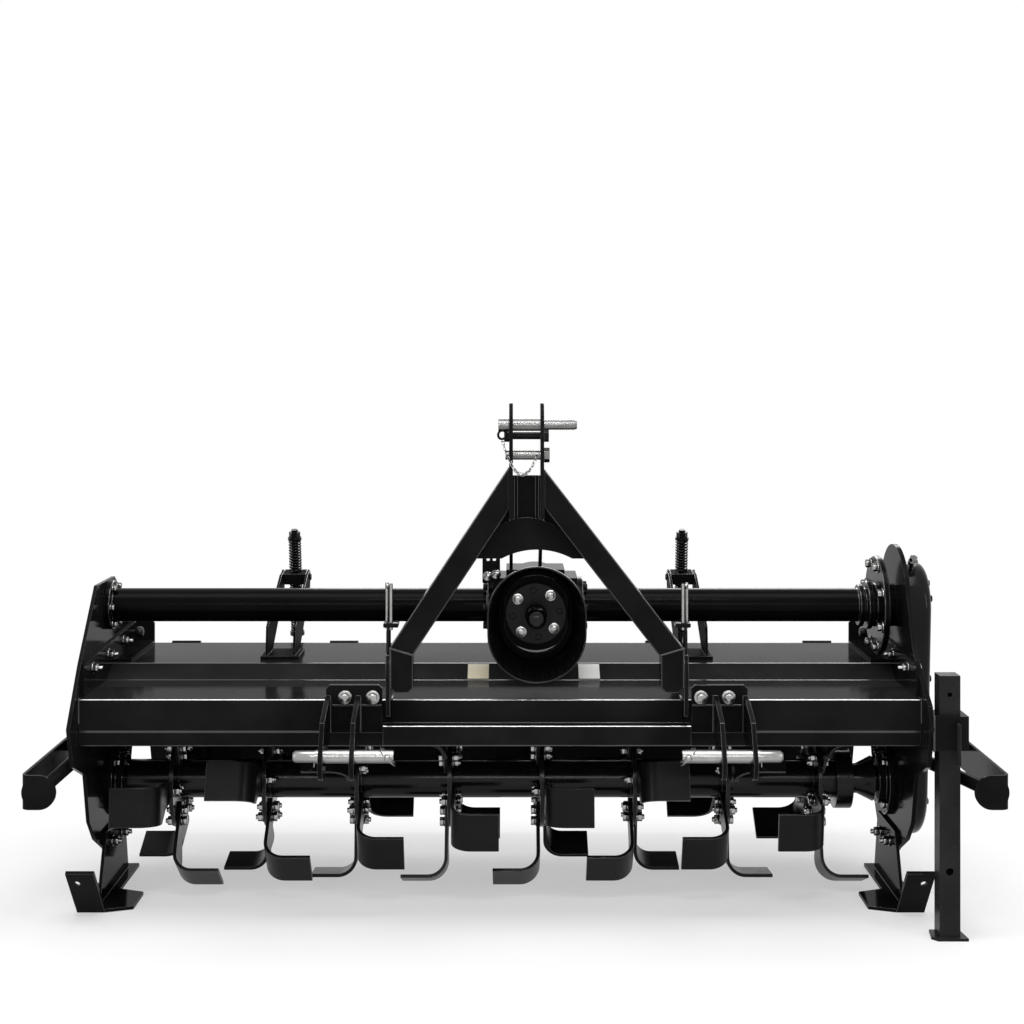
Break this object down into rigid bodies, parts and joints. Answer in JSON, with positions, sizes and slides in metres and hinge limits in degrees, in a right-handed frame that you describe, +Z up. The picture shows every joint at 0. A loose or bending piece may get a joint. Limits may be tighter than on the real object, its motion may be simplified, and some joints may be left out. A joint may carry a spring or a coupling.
{
  "type": "rotary tiller",
  "caption": "Tractor-mounted rotary tiller with A-frame hitch, shielded drive shaft, side-driven tined rotor, hood, sprung tailgate, skids and parking stand.",
  "frame": {"origin": "On the floor, midway between the side guards and below the cross tube's axis", "axes": "+X towards the side drive, +Y to the rear, +Z up"},
  "size_m": [2.064, 0.91, 1.131],
  "materials": {
    "gloss_black": "gloss black powder coat",
    "satin_black": "satin black paint on forged steel",
    "zinc_plate": "bright zinc plate",
    "black_plastic": "soft black plastic"
  },
  "bodies": {
    "frame": {"hood": "gloss_black", "front_beam": "gloss_black", "beam_angle": "gloss_black", "side_plate_left": "gloss_black", "side_plate_right": "gloss_black", "corner_bracket_left": "gloss_black", "corner_bracket_right": "gloss_black", "cross_tube_left": "gloss_black", "cross_tube_right": "gloss_black", "gearbox": "gloss_black", "shaft_guard": "gloss_black", "drive_case": "gloss_black", "case_plug": "zinc_plate", "bearing_left": "gloss_black", "bearing_right": "gloss_black", "aframe_leg_left": "gloss_black", "aframe_leg_right": "gloss_black", "foot_lug_left": "gloss_black", "foot_lug_right": "gloss_black", "aframe_gusset": "gloss_black", "mast_plate_left": "gloss_black", "mast_plate_right": "gloss_black", "mast_web": "gloss_black", "mast_brace_left": "gloss_black", "mast_brace_right": "gloss_black", "top_link_pin": "zinc_plate", "mast_bolt": "satin_black", "mast_pin": "zinc_plate", "clevis_left": "gloss_black", "clevis_right": "gloss_black", "hitch_pin_left": "zinc_plate", "hitch_pin_right": "zinc_plate", "hinge_rod": "zinc_plate", "hinge_lugs": "gloss_black", "fork_left": "gloss_black", "fork_right": "gloss_black", "stand_sleeve": "gloss_black", "stand_pin": "satin_black", "skid_left": "gloss_black", "skid_right": "gloss_black", "guard_left": "gloss_black", "guard_right": "gloss_black", "guard_stays_left": "gloss_black", "guard_stays_right": "gloss_black"},
    "rotor": {"rotor_shaft": "satin_black", "tines_right_hand": "satin_black", "tines_left_hand": "satin_black"},
    "pto": {"pto_shaft": "zinc_plate", "pto_cap": "black_plastic"},
    "tailgate": {"tailgate": "gloss_black"},
    "pivots": {"pivot_blocks": "gloss_black", "springs_upper": "satin_black"},
    "rods": {"spring_rods": "satin_black", "springs_lower": "satin_black"},
    "stand": {"stand_leg": "gloss_black"}
  },
  "joints": [
    {"name": "rotor_spin", "type": "hinge", "parent": "frame", "child": "rotor", "pos_m": [0, 0.06, 0.247], "axis": [1, 0, 0], "continuous": true},
    {"name": "pto_spin", "type": "hinge", "parent": "frame", "child": "pto", "pos_m": [0.046, 0, 0.66], "axis": [0, -1, 0], "continuous": true},
    {"name": "tailgate_swing", "type": "hinge", "parent": "frame", "child": "tailgate", "pos_m": [0, 0.312, 0.514], "axis": [1, 0, 0], "range_deg": [0, 40]},
    {"name": "pivot_swivel", "type": "hinge", "parent": "frame", "child": "pivots", "pos_m": [0, 0.35, 0.68], "axis": [1, 0, 0], "range_deg": [0, 18.2]},
    {"name": "rod_slide", "type": "slide", "parent": "pivots", "child": "rods", "axis": [0, -0.2162, 0.9763], "range_m": [0, 0.0655], "deforming": ["springs_lower"]},
    {"name": "stand_slide", "type": "slide", "parent": "frame", "child": "stand", "axis": [0, 0, 1], "range_m": [0, 0.285]}
  ],
  "couplings": [
    {"joint": "pto_spin", "follows": "rotor_spin", "ratio": 2.7},
    {"joint": "pivot_swivel", "follows": "tailgate_swing", "ratio": 0.4532},
    {"joint": "rod_slide", "follows": "tailgate_swing", "m_per_rad": 0.0931}
  ]
}
